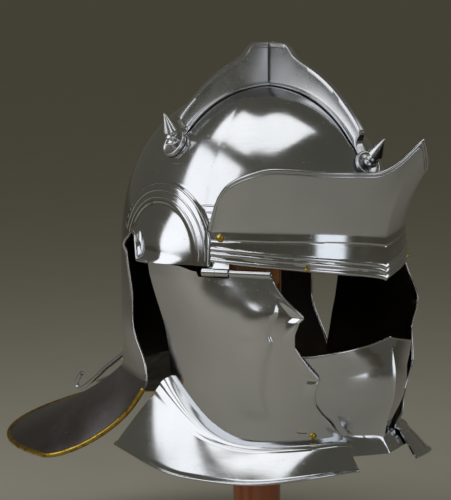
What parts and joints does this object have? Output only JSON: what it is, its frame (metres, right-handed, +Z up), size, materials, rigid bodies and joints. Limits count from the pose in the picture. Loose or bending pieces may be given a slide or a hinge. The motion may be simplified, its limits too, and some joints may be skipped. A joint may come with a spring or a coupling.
{
  "type": "helmet on wooden stand",
  "caption": "Steel helmet with crossed crest bars, a tall brow peak, hinged cheek guards, a chin plate and a flared neck guard, standing on a turned wooden post.",
  "frame": {"origin": "centre of the stand's underside, on the floor", "axes": "+Z up along the stand's post, +X towards the wearer's face, +Y to the wearer's left"},
  "size_m": [0.4098, 0.2794, 0.422],
  "materials": {
    "polished_steel": "polished nearly to a mirror",
    "crest_steel": "polished, slightly satin",
    "brass": "satin, worn",
    "leather": "tan, matt",
    "varnished_wood": "orange brown varnish"
  },
  "bodies": {
    "helmet": {"stand": "varnished_wood", "bowl": "polished_steel", "neck_guard_binding": "brass", "brow_peak": "polished_steel", "crest_bar_long": "crest_steel", "crest_bar_right": "crest_steel", "crest_bar_left": "crest_steel", "spike_front": "crest_steel", "spike_back": "crest_steel", "spike_right": "crest_steel", "spike_left": "crest_steel", "hinge_right": "polished_steel", "hinge_left": "polished_steel", "leather_tab_right": "leather", "leather_tab_left": "leather", "peak_rivet_right": "brass", "peak_rivet_left": "brass", "rim_rivet_right": "brass", "rim_rivet_left": "brass", "nape_hook": "crest_steel", "nape_hook_stay": "crest_steel"},
    "cheek_right": {"cheek_guard_right": "polished_steel", "closing_knob": "brass"},
    "cheek_left": {"cheek_guard_left": "polished_steel", "chin_plate": "polished_steel"}
  },
  "joints": [
    {"name": "cheek_right_hinge", "type": "hinge", "parent": "helmet", "child": "cheek_right", "pos_m": [0.0688, -0.0848, 0.2565], "axis": [-0.8624, -0.5062, 0], "range_deg": [0, 80]},
    {"name": "cheek_left_hinge", "type": "hinge", "parent": "helmet", "child": "cheek_left", "pos_m": [0.0688, 0.0848, 0.2565], "axis": [0.8624, -0.5062, 0], "range_deg": [0, 80]}
  ]
}
